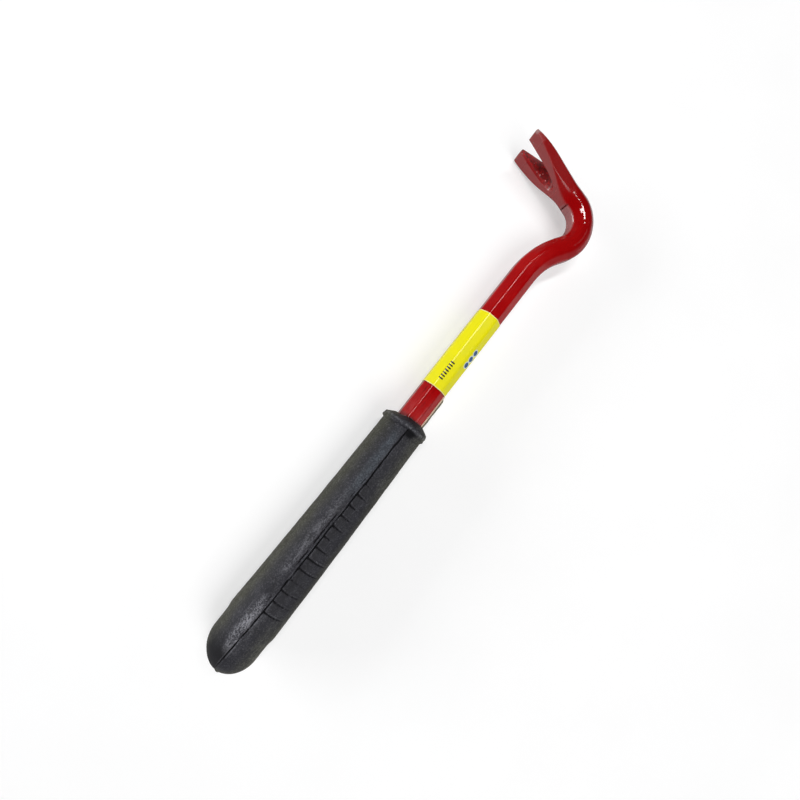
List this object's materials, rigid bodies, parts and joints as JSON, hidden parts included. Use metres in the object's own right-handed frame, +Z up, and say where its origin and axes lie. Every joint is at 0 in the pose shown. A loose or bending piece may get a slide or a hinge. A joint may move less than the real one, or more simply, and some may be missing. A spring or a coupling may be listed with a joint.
{
  "type": "nail puller",
  "caption": "Hand lever for pulling nails: an octagonal steel bar with a gooseneck and a flat V-notched claw, in a ribbed rubber grip, with a label wrapped round the shank.",
  "frame": {"origin": "under the middle of the bounding box, on the surface that the puller lies on", "axes": "+X along the shank from the butt to the claw, +Z up, square to the level plane of the bends, and the claw opens towards +Y"},
  "size_m": [0.3444, 0.0674, 0.0308],
  "materials": {
    "red_paint": "gloss",
    "black_rubber": "matte",
    "yellow_label": "gloss",
    "pale_paper": "matte"
  },
  "bodies": {
    "root": {"forged_bar": "red_paint", "rubber_grip": "black_rubber", "wrap_label": "yellow_label", "paper_sticker": "pale_paper"}
  },
  "joints": []
}
